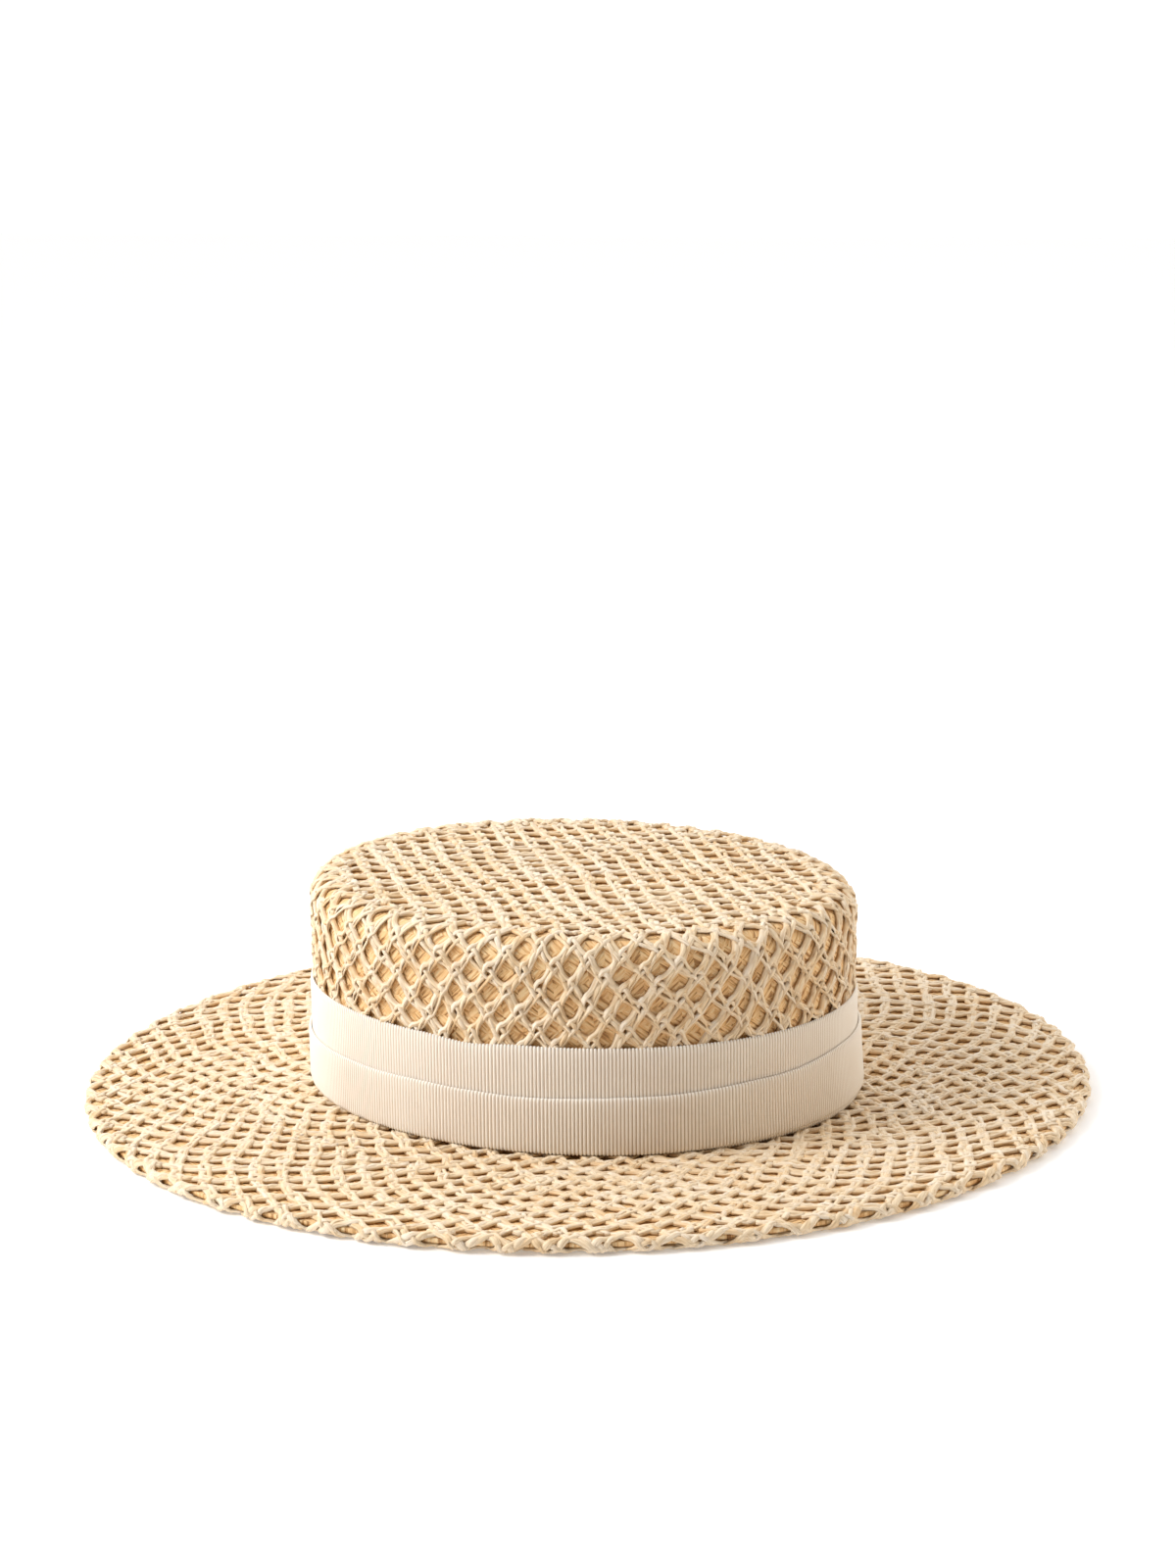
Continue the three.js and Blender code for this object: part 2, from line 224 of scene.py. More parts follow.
class Nodes:
    """Short calls for a material's nodes and links."""

    def __init__(self, name):
        self.material = bpy.data.materials.new(name)
        self.material.use_nodes = True
        self.tree = self.material.node_tree
        self.shader = self.tree.nodes["Principled BSDF"]

    def add(self, kind, inputs=None, **settings):
        node = self.tree.nodes.new("ShaderNode" + kind)
        for key, value in settings.items():
            setattr(node, key, value)
        for key, value in (inputs or {}).items():
            self.put(node.inputs[key], value)
        return node

    def put(self, socket, value):
        if isinstance(value, bpy.types.NodeSocket):
            self.tree.links.new(value, socket)
        else:
            socket.default_value = value

    def pattern(self):
        """The piece's own pattern coordinates, in metres of cloth."""
        return self.add("UVMap", uv_map="weave").outputs["UV"]

    def patches(self, scale):
        """Slow changes over the whole hat."""
        return self.noise(self.add("TexCoord").outputs["Object"], scale, 3)

    def tone_and_painted_light(self):
        """The tone, painted highlight and painted shade that the vertices carry."""
        return self.add("Attribute", attribute_name="tone_and_painted_light").outputs["Fac"]

    def noise(self, vector, scale, detail, roughness=0.55):
        inputs = {"Vector": vector, "Scale": scale, "Detail": detail, "Roughness": roughness}
        return self.add("TexNoise", inputs).outputs["Fac"]

    def stretched(self, vector, lengths, turn=0.0):
        """Turns a pattern, then draws it out to these lengths along its own axes."""
        inputs = {"Vector": vector, "Scale": lengths, "Rotation": (0, 0, turn)}
        return self.add("Mapping", inputs, vector_type="TEXTURE").outputs["Vector"]

    def ramp(self, factor, stops):
        node = self.add("ValToRGB", {"Fac": factor})
        elements = node.color_ramp.elements
        for _ in range(len(stops) - 2):
            elements.new(0.5)
        for element, (position, colour) in zip(elements, stops):
            element.position = position
            element.color = (*colour, 1)
        return node.outputs["Color"]

    def blend(self, factor, a, b, kind="MIX"):
        node = self.add("Mix", data_type="RGBA", blend_type=kind)
        self.put(node.inputs[0], factor)
        self.put(node.inputs[6], a)
        self.put(node.inputs[7], b)
        return node.outputs[2]

    def math(self, operation, a, b):
        node = self.add("Math", operation=operation)
        self.put(node.inputs[0], a)
        self.put(node.inputs[1], b)
        return node.outputs[0]

    def bump(self, height, strength, distance):
        inputs = {"Height": height, "Strength": strength, "Distance": distance}
        return self.add("Bump", inputs).outputs["Normal"]

    def finish(self, colour, roughness, normal=None, **constants):
        self.put(self.shader.inputs["Base Color"], colour)
        self.put(self.shader.inputs["Roughness"], roughness)
        if normal is not None:
            self.put(self.shader.inputs["Normal"], normal)
        for key, value in constants.items():
            self.shader.inputs[key.replace("_", " ")].default_value = value
        return self.material


def split_straw():
    """Pale split straw: fine lines along each strand, with lighter and darker strands, tan patches, and a
    painted highlight that makes the knots paler.
    """
    n = Nodes("split_straw")
    lines = n.noise(n.stretched(n.pattern(), (1, 20, 1)), 1500, 3)
    base = n.ramp(n.tone_and_painted_light(), [(0.1, (0.79, 0.54, 0.29)), (0.4, (0.89, 0.71, 0.48)), (0.9, (0.94, 0.82, 0.66))])
    patchy = n.ramp(n.patches(60), [(0.45, BLACK), (0.8, (0.5, 0.5, 0.5))])
    warm = n.blend(patchy, base, (0.85, 0.63, 0.38, 1))
    streak = n.ramp(lines, [(0.34, (0.70, 0.58, 0.43)), (0.5, WHITE)])
    colour = n.blend(0.7, warm, streak, "MULTIPLY")
    rough = n.math("ADD", n.math("MULTIPLY", lines, 0.25), 0.38)
    return n.finish(colour, rough, n.bump(lines, 0.7, 0.0007), Specular_IOR_Level=0.4)


def woven_straw():
    """Tan straw in a close weave: strands on two slants in turn, with the cracks between them darkened as
    painted shade.
    """
    n = Nodes("woven_straw")
    cloth = n.pattern()
    falling = n.noise(n.stretched(cloth, (9, 1, 1), math.radians(-38)), 950, 3, 0.6)
    rising = n.noise(n.stretched(cloth, (9, 1, 1), math.radians(47)), 950, 3, 0.6)
    squares = n.add("TexChecker", {"Vector": n.stretched(cloth, (1, 1, 1), math.radians(5)), "Scale": 170})
    slants = {"Factor": squares.outputs["Fac"], "A": falling, "B": rising}
    strands = n.add("Mix", slants).outputs["Result"]
    # The darkest stops are painted shade in the cracks between the strands.
    painted_crack_shade = [(0.37, (0.32, 0.15, 0.05)), (0.43, (0.70, 0.40, 0.16))]
    straws = [(0.51, (0.90, 0.60, 0.29)), (0.64, (0.98, 0.76, 0.45))]
    patchy = n.ramp(n.patches(30), [(0.3, BLACK), (0.8, (0.3, 0.3, 0.3))])
    colour = n.blend(patchy, n.ramp(strands, painted_crack_shade + straws), (0.76, 0.44, 0.20, 1))
    return n.finish(colour, 0.6, n.bump(strands, 0.7, 0.0013), Specular_IOR_Level=0.3)


def grosgrain():
    """Ivory grosgrain: ribs with painted shade darkening the grooves between them, and fine weft lines across
    them.
    """
    n = Nodes("grosgrain")
    weft = n.noise(n.stretched(n.pattern(), (3, 1, 1)), 5200, 2)
    base = n.ramp(n.patches(40), [(0.3, (0.92, 0.85, 0.76)), (0.7, (0.96, 0.91, 0.83))])
    # The grooves between the ribs are darkened: painted shade.
    painted_groove_shade = n.ramp(n.tone_and_painted_light(), [(0.05, (0.58, 0.47, 0.36)), (0.5, WHITE)])
    colour = n.blend(1.0, base, painted_groove_shade, "MULTIPLY")
    return n.finish(colour, 0.6, n.bump(weft, 0.15, 0.0001), Sheen_Weight=0.15, Specular_IOR_Level=0.25)


# Straw body

BODY_COLUMNS = 240
TIP_RINGS, SHOULDER_RINGS, SIDE_RINGS = 24, 7, 9
BRIM_RINGS = 22


def crown_base(material):
    """The crown's wall as a closed shell: rings over the tip, round the shoulder and down the side."""
    angles = angles_round(BODY_COLUMNS)
    bottom = ROOT_LIFT + BASE_WALL + SEAT_GAP
    tip = np.linspace(0.0, 1, TIP_RINGS)[:, None]

    def face(offset):
        quarter = (SHOULDER_RADIUS + offset) * math.pi / 2
        bends = np.linspace(0, quarter, SHOULDER_RINGS + 1)[1:]
        drops = quarter + np.linspace(0, SHOULDER_START - bottom, SIDE_RINGS + 1)[1:]
        runs = np.concatenate([bends, drops])[:, None]
        flat = crown_skin(offset, tip, 0.0, angles)
        return np.concatenate([flat, crown_skin(offset, 1.0, runs, angles)])

    outer, inner = face(BASE_WALL), face(0)
    points = np.concatenate([outer, inner[::-1]])
    around = np.broadcast_to(angles / TURN * ROUND_LENGTH, points.shape[:2])
    on_tip = np.zeros(len(points), dtype=bool)
    on_tip[:TIP_RINGS] = True
    on_tip[-TIP_RINGS:] = True
    side_uv = np.stack([around, points[..., 2]], axis=-1)
    uv = np.where(on_tip[:, None, None], points[..., :2], side_uv) * MM
    faces = ring_faces(*points.shape[:2], closed=False)[:, ::-1]
    return make_piece("crown_woven_straw", points, faces, "crown_base", material, uv,
                      around=ROUND_LENGTH * MM)


def brim_base(material):
    """The brim as a closed ring: out along its underside and back along its top."""
    angles = angles_round(BODY_COLUMNS)
    places = np.linspace(0, 1, BRIM_RINGS)[:, None]
    under = brim_skin(EDGE_ROUND, 0.0, places, angles)
    over = brim_skin(EDGE_ROUND, BASE_WALL, places, angles)
    points = np.concatenate([under, over[::-1]])
    faces = ring_faces(*points.shape[:2], closed=True)
    uv = points[..., :2] * MM
    return make_piece("brim_woven_straw", points, faces, "brim_base", material, uv)


# The net: pairs of flat strands along both lattice directions, and a third set that zigzags round the gaps.
# Lattice coordinates a and b count knots, which lie where both are whole. Rises and widths are in
# millimetres, and waves in radians for each knot.

PAIR_MID, PAIR_KNOT = 0.085, 0.15  # from a pair's middle to each strand, between knots and at a knot
WEAVE_RISE = 0.34  # how far the strands rise and sink where they cross
KNOT_RISE = 0.6  # how far the knots stand out
CORNER = 0.25  # how far the zigzag stays from a knot
ZIGZAG_RISE, ZIGZAG_SINK = 0.3, 0.05  # how far it rises on the arms, and how far it lies below the pairs
ZIGZAG_WIDTH = 1.05  # its width as a share of the pairs' width
STRAND_HALF_WIDTH, STRAND_TOP_WIDTH = 1.22, 0.55  # the top's width is a share of the whole
STRAND_TOP, STRAND_BOTTOM = 0.42, 0.55  # from a strand's path up to its top and down to its underside
PATTERN_ACROSS = np.array([-1.3, -0.4, 0.4, 1.3])  # a section's corners in its pattern, in half widths
SLOW_STRAY, FAST_STRAY = 0.06, 0.045  # how far the strands wander from the lattice, in knots
WAVES_IN_A, WAVES_IN_B = (1.1, 2.9), (1.3, 3.1)  # slow and fast
LIFT_STRAY, LIFT_WAVES = 0.12, 2.3
WIDTH_SPREAD, WIDTH_CHANGE, WIDTH_WAVES = 0.2, 0.16, 1.9
TONE_AND_HIGHLIGHT_SHARES = (0.5, 0.25, 0.35)  # how much of the strands' tone goes at random with the strand and with the vertex, and how much is painted highlight that makes the knots paler


def strand_tubes(a, b, lift, half_width, skin, keep, tone_and_painted_light):
    """Strands along many paths at once. A section is flat below and narrower above. Stretches outside
    keep are left out, and open ends are closed."""
    middle = skin(a, b, lift)
    up = skin(a, b, lift + 0.5) - skin(a, b, lift - 0.5)
    up /= np.linalg.norm(up, axis=-1, keepdims=True)
    side = np.cross(up, np.gradient(middle, axis=1))
    side *= half_width[..., None] / np.linalg.norm(side, axis=-1, keepdims=True)
    over, under = middle + up * STRAND_TOP, middle - up * STRAND_BOTTOM
    top = side * STRAND_TOP_WIDTH
    points = np.stack([under + side, over + top, over - top, under - side], axis=2)
    # Walls from section to section where the net is kept, and a cap at each open end
    paths, steps = a.shape
    inside = keep((a[:, 1:] + a[:, :-1]) / 2, (b[:, 1:] + b[:, :-1]) / 2)
    corner = np.arange(paths * steps * 4).reshape(paths, steps, 4)
    near, far = corner[:, :-1][inside], corner[:, 1:][inside]
    walls = np.stack([near, np.roll(near, -1, 1), np.roll(far, -1, 1), far], axis=-1).reshape(-1, 4)
    starts = inside & ~np.pad(inside, ((0, 0), (1, 0)))[:, :-1]
    ends = inside & ~np.pad(inside, ((0, 0), (0, 1)))[:, 1:]
    faces = np.concatenate([walls, corner[:, :-1][starts][:, ::-1], corner[:, 1:][ends]])
    # The pattern runs along each strand
    length = np.cumsum(np.pad(np.linalg.norm(np.diff(middle, axis=1), axis=-1), ((0, 0), (1, 0))), axis=1)
    across = half_width[..., None] * PATTERN_ACROSS
    uv = np.stack([across, np.broadcast_to(length[..., None], across.shape)], axis=-1) * MM
    # Only the points that a face uses stay
    used = np.unique(faces)
    renumber = np.zeros(corner.size, dtype=np.int64)
    renumber[used] = np.arange(len(used))
    shades = np.broadcast_to(tone_and_painted_light[..., None], corner.shape).reshape(-1)
    return points.reshape(-1, 3)[used], renumber[faces], uv.reshape(-1, 2)[used], shades[used]


def ring_lines(count, first_row, rows):
    """Strands of a net woven in rounds, with count gaps in a round: for each direction, the strands' places
    and where each starts. The rows are where a + b is whole."""
    k, c = np.arange(count), np.arange(2 * count)
    zigzag = (c, (first_row - c) // 2)
    return {"a": (k, first_row - k), "b": (-k, first_row + k), "zigzag": zigzag, "rows": rows}


def flat_lines(reach):
    """Strands of a flat net, out to reach knots each way."""
    k, c = np.arange(-reach, reach + 1), np.arange(-2 * reach, 2 * reach + 1)
    straight = (k, 0 * k - reach)
    return {"a": straight, "b": straight, "zigzag": (c, -reach - c // 2), "rows": 2 * reach}


def net_tubes(lines, steps, skin, keep, rng, strand=STRAND_HALF_WIDTH, loose=1.0):
    """All the strands of a net, in steps from knot to knot. They wander more the looser the net is."""
    parts = []

    def add(a, b, lift, half_width, along, knots):
        phase = rng.uniform(0, TURN, (5, len(a), 1))

        def stray(waves, phases):
            slow, fast = np.sin(waves[0] * along + phases[0]), np.sin(waves[1] * along + phases[1])
            return loose * (SLOW_STRAY * slow + FAST_STRAY * fast)

        a = a + stray(WAVES_IN_A, phase[0:2])
        b = b + stray(WAVES_IN_B, phase[2:4])
        lift = lift + LIFT_STRAY * np.sin(LIFT_WAVES * along + phase[4])
        width = half_width * rng.uniform(1 - WIDTH_SPREAD, 1 + WIDTH_SPREAD, (len(a), 1))
        width = width * (1 + WIDTH_CHANGE * np.sin(WIDTH_WAVES * along + phase[4]))
        of_strand, of_vertex, painted_knot_highlight = TONE_AND_HIGHLIGHT_SHARES
        tone_and_painted_light = of_strand * rng.uniform(0, 1, (len(a), 1)) + of_vertex * rng.uniform(0, 1, a.shape)
        # The knots' share is a painted highlight: the strands turn paler at each knot.
        parts.append(strand_tubes(a, b, lift, width, skin, keep, tone_and_painted_light + painted_knot_highlight * knots))

    def straight(key):
        line, start = lines[key]
        along = start[:, None] + np.arange(lines["rows"] * steps + 1) / steps
        near_knot = 0.5 + 0.5 * np.cos(TURN * along)
        weave = WEAVE_RISE * (0.7 * np.sin(TURN * along) + 0.4 * np.sin(2 * TURN * along))
        return line[:, None], along, mix(PAIR_MID, PAIR_KNOT, near_knot), weave, near_knot ** 2

    # Both strands of each pair, in both directions
    for side in (-1, 1):
        line, along, spread, weave, knot = straight("a")
        add(line + side * spread, along, KNOT_RISE * knot + side * weave, strand, along, knot)
        line, along, spread, weave, knot = straight("b")
        add(along, line + side * spread, KNOT_RISE * knot - side * weave, strand, along, knot)
    # The zigzag, which turns away before each knot
    line, start = lines["zigzag"]
    along = start[:, None] + np.arange((lines["rows"] + 2) * steps + 1) / (2 * steps)
    turn = (0.5 - CORNER) * np.cos(TURN * along) - 0.5
    lift = ZIGZAG_RISE * (0.5 - np.cos(2 * TURN * along)) - ZIGZAG_SINK
    add(line[:, None] + along + turn / 2, along - turn / 2, lift, strand * ZIGZAG_WIDTH, along, 0.5)
    return parts


def net_piece(name, parts, node, material):
    """One piece of net from the points, faces, uv and tint of all its strands."""
    firsts = np.cumsum([0] + [len(points) for points, _, _, _ in parts])
    faces = np.concatenate([part[1] + first for part, first in zip(parts, firsts)])
    points, uv, tone_and_painted_light = (np.concatenate([part[k] for part in parts]) for k in (0, 2, 3))
    return make_piece(name, points, faces, node, material, uv, tone_and_painted_light)


def even_angle(turns, length, width):
    """The angle of an oval's point after a share of the way round, with even steps along the oval."""
    angle = turns * TURN
    return angle + (length - width) / (length + width) / 2 * np.sin(2 * angle)


def wander_in_rounds(turns, row, amount, phase):
    """Slow waves round the hat, the same again after a whole turn."""
    first = np.sin(TURN * 5 * turns + 0.55 * row + phase)
    second = 0.7 * np.sin(TURN * 11 * turns - 0.8 * row + 2.1 * phase)
    return amount * (first + second + 0.5 * np.sin(TURN * 23 * turns + 1.3 * row + 3.7 * phase))


# Net of the crown

TIP_LATTICE = np.array([(8.6, 2.2), (-2.3, 8.5)])  # steps from knot to knot on the tip: right and away
TIP_REACH = 13  # knots from the middle of the tip
TIP_WARP, WARP_LENGTH = 1.6, 20  # slow bends in the tip's net
TIP_NET_EDGE = -5.0  # where the tip's net ends and the side's begins, from the start of the shoulder
TIP_OVERLAP = 2  # how far the tip's net goes on past that
SIDE_GAPS, SIDE_ROW = 47, 7.5  # gaps in a round of the side's net, and the drop from row to row
SIDE_SLANT, SLANT_ANGLE = 20.0, math.radians(292)  # its rows climb and sink by this, fastest at this angle
SIDE_ROW_WANDER, SIDE_TURN_WANDER = 0.12, 0.0012  # in rows, and in turns round the hat
SIDE_HALF_WIDTH, SIDE_LOOSE = 1.05, 0.7  # of the side's strands, and their share of the wandering
BEHIND_RIBBON = 4  # how far the net goes on behind the ribbon
CROWN_STEPS = 6  # from knot to knot
CROWN_SEED = 11


def crown_net(material):
    """The net of the tip, and the one woven in rounds over the shoulder and the bare part of the side."""
    rng = np.random.default_rng(CROWN_SEED)
    lowest = (SHOULDER_RADIUS + NET_MIDDLE) * math.pi / 2 + SHOULDER_START - RIBBON_TOP + BEHIND_RIBBON
    cos, sin = math.cos(CAMERA_TURN), math.sin(CAMERA_TURN)
    lattice = TIP_LATTICE @ np.array([[cos, sin], [-sin, cos]])

    def flat_point(a, b):
        flat = a[..., None] * lattice[0] + b[..., None] * lattice[1]
        x, y = flat[..., 0] / WARP_LENGTH, flat[..., 1] / WARP_LENGTH
        return flat + TIP_WARP * np.stack([np.sin(x + 1.3 * y), np.sin(1.4 * x - y + 2)], axis=-1)

    def tip_skin(a, b, lift):
        return over_crown(flat_point(a, b), NET_MIDDLE + lift)

    def on_tip(a, b):
        flat = flat_point(a, b)
        size = np.hypot(flat[..., 0] / TIP_HALF_LENGTH, flat[..., 1] / TIP_HALF_WIDTH)
        return (size - 1) * np.hypot(flat[..., 0], flat[..., 1]) < (TIP_NET_EDGE + TIP_OVERLAP) * size

    def side_run(a, b):
        turns = (a - b) / (2 * SIDE_GAPS)
        row = a + b + wander_in_rounds(turns, a + b, SIDE_ROW_WANDER, 1)
        return turns, row * SIDE_ROW - SIDE_SLANT * np.sin(TURN * turns - SLANT_ANGLE)

    def side_skin(a, b, lift):
        turns, run = side_run(a, b)
        turns = turns + wander_in_rounds(turns, a + b, SIDE_TURN_WANDER, 4)
        angle = even_angle(turns, HEAD_LENGTH, HEAD_WIDTH)
        radius = np.hypot(TIP_HALF_LENGTH * np.cos(angle), TIP_HALF_WIDTH * np.sin(angle))
        return crown_skin(NET_MIDDLE + lift, 1 + np.minimum(run, 0) / radius, np.maximum(run, 0), angle)

    def on_side(a, b):
        _, run = side_run(a, b)
        return (run > TIP_NET_EDGE) & (run < lowest)

    parts = net_tubes(flat_lines(TIP_REACH), CROWN_STEPS, tip_skin, on_tip, rng)
    rows_above = int((SIDE_SLANT - TIP_NET_EDGE) / SIDE_ROW) + 2
    rows = rows_above + int((SIDE_SLANT + lowest) / SIDE_ROW) + 2
    side_lines = ring_lines(SIDE_GAPS, -rows_above, rows)
    parts += net_tubes(side_lines, CROWN_STEPS, side_skin, on_side, rng, SIDE_HALF_WIDTH, SIDE_LOOSE)
    return net_piece("crown_netting", parts, "crown_net", material)


# Net of the brim and its edge

BRIM_ROWS = 15.5  # on the brim's top, from the head opening to the bend of the edge
BRIM_ZONES = ((51, 0, 5.2), (69, 5.2, 30))  # gaps in a round, and the rows where the zone starts and ends
ZONE_OVERLAP = 0.15  # in rows
BRIM_ROW_WANDER, BRIM_TURN_WANDER = 0.14, 0.0014  # in rows, and in turns round the hat
NET_ROOT = 2.5  # from the head opening to the start of the brim's net
EDGE_ROW = 5.8  # length of a row over the edge and under it
EDGE_STARTS = BRIM_ROWS - 0.8  # the edge's own piece of net begins at this row
EDGE_WRAP = 1.8  # radius of the net's bends at the brim's edge
EDGE_SET_IN = 0.15  # from the brim's outline to the net's middle at the edge
WRAP_START = EDGE_SET_IN + EDGE_WRAP  # from the brim's outline to the start of the bend
HEM_MIDDLE = 1.2  # height of the hem's middle above the table
BRIM_STEPS, EDGE_STEPS = 4, 6  # from knot to knot
BRIM_SEED = 23


def brim_wrap(angle, reach, offset):
    """The net's way past the start of the edge's bend: down round the edge in two quarter circles, and
    back under it as the hem."""
    high = BRIM_BASE_EDGE + NET_MIDDLE - EDGE_WRAP
    low = HEM_MIDDLE + EDGE_WRAP
    quarter = EDGE_WRAP * math.pi / 2
    first = np.clip(reach / EDGE_WRAP, 0, math.pi / 2)
    down = np.clip(reach - quarter, 0, high - low)
    second = np.clip((reach - quarter - (high - low)) / EDGE_WRAP, 0, math.pi / 2)
    under = np.maximum(reach - 2 * quarter - (high - low), 0)
    bend = EDGE_WRAP + offset
    x, y = brim_oval(angle, WRAP_START - bend * np.sin(first) * np.cos(second) + under)
    z = np.where(second > 0, low - bend * np.sin(second), high + bend * np.cos(first) - down)
    return np.stack([x, y, z], axis=-1)


def brim_parts(first, last, steps):
    """Strands of the brim's net, woven in rounds, between two rows."""
    rng = np.random.default_rng(BRIM_SEED)
    parts = []
    for gaps, zone_first, zone_last in BRIM_ZONES:
        low, high = max(first, zone_first - ZONE_OVERLAP), min(last, zone_last + ZONE_OVERLAP)

        def place_of(a, b):
            turns = (a - b) / (2 * gaps)
            return turns, a + b + wander_in_rounds(turns, a + b, BRIM_ROW_WANDER, gaps)

        def skin(a, b, lift):
            turns, row = place_of(a, b)
            turns = turns + wander_in_rounds(turns, row, BRIM_TURN_WANDER, 3)
            angle = even_angle(turns, BRIM_LENGTH, BRIM_WIDTH)
            on_top = brim_skin(WRAP_START, NET_MIDDLE + lift, np.minimum(row / BRIM_ROWS, 1), angle)
            wrapped = brim_wrap(angle, (row - BRIM_ROWS) * EDGE_ROW, lift)
            return np.where((row > BRIM_ROWS)[..., None], wrapped, on_top)

        def keep(a, b):
            _, row = place_of(a, b)
            return (row >= low) & (row < high)

        if high > low:
            rows = range(math.floor(low) - 1, math.ceil(high) + 1)
            parts += net_tubes(ring_lines(gaps, rows[0], len(rows)), steps, skin, keep, rng)
    return parts


def brim_net(material):
    """The net over the brim, from clear of the crown to the edge's own piece."""
    first = BRIM_ROWS * NET_ROOT / ((BRIM_WIDTH - HEAD_WIDTH) / 2)
    parts = brim_parts(first, EDGE_STARTS, BRIM_STEPS)
    return net_piece("brim_netting", parts, "brim_net", material)


def brim_edge(material):
    """The net turned round the edge and back under it as the hem."""
    around = math.pi * EDGE_WRAP + BRIM_BASE_EDGE + NET_MIDDLE - 2 * EDGE_WRAP - HEM_MIDDLE
    last = BRIM_ROWS + (around + HEM_REACH - WRAP_START) / EDGE_ROW
    parts = brim_parts(EDGE_STARTS, last, EDGE_STEPS)
    return net_piece("edge_netting", parts, "brim_edge", material)


# Ribbon

RIBS = 480
COLUMNS_PER_RIB = 4
RIB_DEPTH = 0.38
PICOT = 0.45  # how far the little loops stand past a woven edge

# Rings of a turn, up its ribbed face and down its back: up is a share of its height, back is 1 on its back,
# and roll is how far its face turns in towards an edge, as a share of the wall.
RIBBON_RINGS = np.array([
    (0, 0, 0.4),
    (0.02, 0, 0.15),
    (0.06, 0, 0),
    (0.2, 0, 0),
    (0.35, 0, 0),
    (0.5, 0, 0),
    (0.65, 0, 0),
    (0.8, 0, 0),
    (0.93, 0, 0),
    (0.975, 0, 0.2),
    (1, 0, 0.55),
    (1, 1, 0),
    (0.5, 1, 0),
    (0, 1, 0),
], dtype=[(name, float) for name in ("up", "back", "roll")])


def lay_at(angles):
    """The ribbon's lay at angles, eased between the rows of its table."""
    degrees = np.degrees(angles) % 360
    rows = RIBBON_LAY["angle"]
    k = np.clip(np.searchsorted(rows, degrees, side="right") - 1, 0, len(rows) - 2)
    share = smoothstep(degrees, rows[k], rows[k + 1])
    columns = ("fold", "lift", "flare", "dent")
    return {name: mix(RIBBON_LAY[name][k], RIBBON_LAY[name][k + 1], share) for name in columns}


RIBBON_ANGLES = angles_round(RIBS * COLUMNS_PER_RIB)
LAY = lay_at(RIBBON_ANGLES)


def ribbon_turn(name, node, material, low, high, inner, picot_top):
    """A turn of ribbon between two shares of its width, as a closed band set out by inner. Every rib ends
    in a little loop at a woven edge."""
    rib = 0.5 + 0.5 * np.cos(RIBS * RIBBON_ANGLES)
    up, back, roll = (RIBBON_RINGS[column][:, None] for column in ("up", "back", "roll"))
    share = mix(low, high, up)
    out = inner + RIBBON_WALL * (1 - back) * (1 - roll) + RIB_DEPTH * (rib - 1) * (1 - back)
    out = out + RIBBON_WALL * LAY["flare"] * (1 - share) ** 2
    z = RIBBON_BOTTOM + RIBBON_WIDTH * share - RIBBON_WALL * LAY["dent"] * share ** 2
    z = z - PICOT * (rib - 0.5) * (up == 0)
    if picot_top:
        z = z + PICOT * (rib - 0.5) * (up == 1)
    points = crown_point(out, z, 1.0, RIBBON_ANGLES)
    around = np.broadcast_to(RIBBON_ANGLES / TURN * ROUND_LENGTH, z.shape)
    uv = np.stack([around, z], axis=-1) * MM
    # On the face, the rib's phase darkens the grooves between ribs as painted shade; the back stays plain.
    tone_and_painted_light = np.broadcast_to(np.where(back > 0, 1.0, rib), z.shape)
    faces = ring_faces(*points.shape[:2], closed=True)
    return make_piece(name, points, faces, node, material, uv, tone_and_painted_light, ROUND_LENGTH * MM)


# Stage

FLOOR_GLOW = 0.2
FLOOR_SIZE = 8  # metres

# Light from all round: white walls but for a dim, warm room in front. A wall begins to darken where the
# product of its direction and the room's is ROOM_STARTS, and is darkest from ROOM_FULL on.
WALL_LIGHT = 1.12
ROOM_DIRECTION = (0.5, -0.86, 0.1)
ROOM_COLOUR = (0.05, 0.02, 0.0)
ROOM_STARTS, ROOM_FULL = 0.28, 0.72

# Square lights: direction from the hat, distance and size in metres, watts, and colour
LIGHTS = {
    "key": ((-0.914, -0.405, 0.82), 1.3, 0.53, 10.8, WHITE),
    "side": ((0.92, 0.12, 0.2), 2.2, 0.9, 12, (1, 0.88, 0.7)),
}

AIM = (0.63, -4.0, 120.8)  # the middle of the picture
CAMERA_DISTANCE = 1200.0
CAMERA_PITCH = math.radians(14.454)
CAMERA_ROLL = math.radians(-0.48)
FOCAL_PIXELS, PICTURE_HEIGHT = 3226.9, 1600.0
SENSOR = 36.0


def add_floor():
    """A white floor that glows a little as well, so it stays white round the hat."""
    bpy.ops.mesh.primitive_plane_add(size=FLOOR_SIZE, location=(0, 0, cad_box[0][2]))
    floor = bpy.context.object
    floor.name = "floor"
    material = Nodes("floor").finish((0.9, 0.9, 0.9, 1), 0.8, Emission_Color=(1, 1, 1, 1),
                                     Emission_Strength=FLOOR_GLOW)
    floor.data.materials.append(material)


def add_light(name, towards, distance, size, power, colour):
    """A soft square light that shines on the hat from a direction."""
    direction = np.array(towards) / np.linalg.norm(towards)
    data = bpy.data.lights.new(name, "AREA")
    data.size = size
    data.energy = power
    data.color = colour
    light = bpy.data.objects.new(name, data)
    bpy.context.scene.collection.objects.link(light)
    light.location = direction * distance
    light.rotation_euler = Vector(tuple(direction)).to_track_quat("Z", "Y").to_euler()


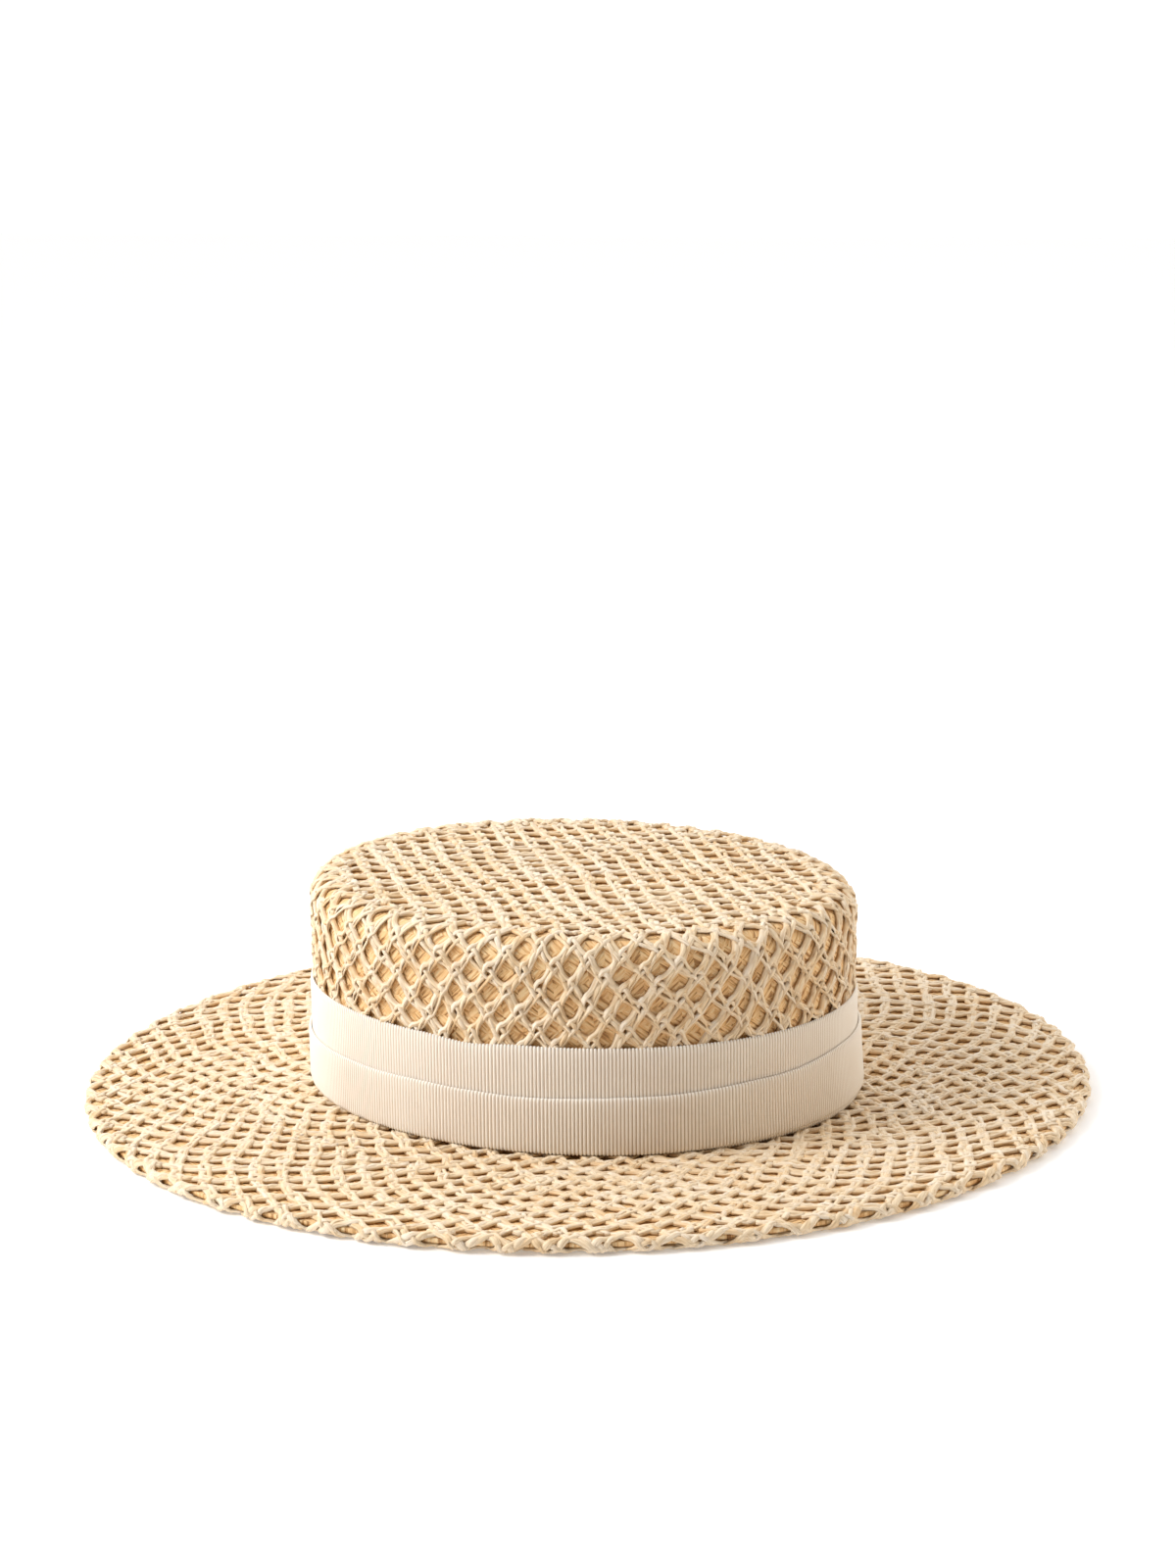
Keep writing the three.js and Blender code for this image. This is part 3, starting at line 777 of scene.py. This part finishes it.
def add_camera():
    """The photo's view: down by the pitch, along Y turned by the camera's turn, and rolled a little."""
    right = np.array([math.cos(CAMERA_TURN), math.sin(CAMERA_TURN), 0])
    away = np.array([-right[1], right[0], 0])
    forward = away * math.cos(CAMERA_PITCH) - np.array([0, 0, math.sin(CAMERA_PITCH)])
    up = np.cross(right, forward)
    rolled_right = right * math.cos(CAMERA_ROLL) + up * math.sin(CAMERA_ROLL)
    rolled_up = up * math.cos(CAMERA_ROLL) - right * math.sin(CAMERA_ROLL)
    place = (np.array(AIM) - forward * CAMERA_DISTANCE) * MM
    data = bpy.data.cameras.new("camera")
    data.sensor_fit = "VERTICAL"
    data.sensor_height = SENSOR
    data.lens = FOCAL_PIXELS / PICTURE_HEIGHT * SENSOR
    camera = bpy.data.objects.new("camera", data)
    bpy.context.scene.collection.objects.link(camera)
    columns = np.stack([rolled_right, rolled_up, -forward, place], axis=1)
    camera.matrix_world = Matrix([*columns.tolist(), [0, 0, 0, 1]])
    bpy.context.scene.camera = camera


def add_surroundings():
    """White walls all round except in front, where the room is dim and warm."""
    world = bpy.data.worlds.new("studio")
    world.use_nodes = True
    tree = world.node_tree
    direction = tree.nodes.new("ShaderNodeTexCoord").outputs["Generated"]
    towards_room = tree.nodes.new("ShaderNodeVectorMath")
    towards_room.operation = "DOT_PRODUCT"
    towards_room.inputs[1].default_value = ROOM_DIRECTION
    ramp = tree.nodes.new("ShaderNodeValToRGB")
    stops = ((ROOM_STARTS, WHITE), (ROOM_FULL, ROOM_COLOUR))
    for element, (position, colour) in zip(ramp.color_ramp.elements, stops):
        element.position = position
        element.color = (*colour, 1)
    tree.links.new(direction, towards_room.inputs[0])
    tree.links.new(towards_room.outputs["Value"], ramp.inputs["Fac"])
    tree.links.new(ramp.outputs["Color"], tree.nodes["Background"].inputs["Color"])
    tree.nodes["Background"].inputs["Strength"].default_value = WALL_LIGHT
    bpy.context.scene.world = world


add_camera()
add_floor()
add_surroundings()
for light_name, light_values in LIGHTS.items():
    add_light(light_name, *light_values)
bpy.context.scene.view_settings.view_transform = "Standard"

tan, pale, cloth = woven_straw(), split_straw(), grosgrain()
crown_base(tan)
brim_base(tan)
crown_net(pale)
brim_net(pale)
brim_edge(pale)
first = ribbon_turn("ribbon_first", "ribbon_first_turn", cloth, 0.0, 1.0, RIBBON_OFFSET, True)
second = ribbon_turn("ribbon_second", "ribbon_second_turn", cloth, LAY["lift"], LAY["fold"],
                     SECOND_TURN_OFFSET, False)
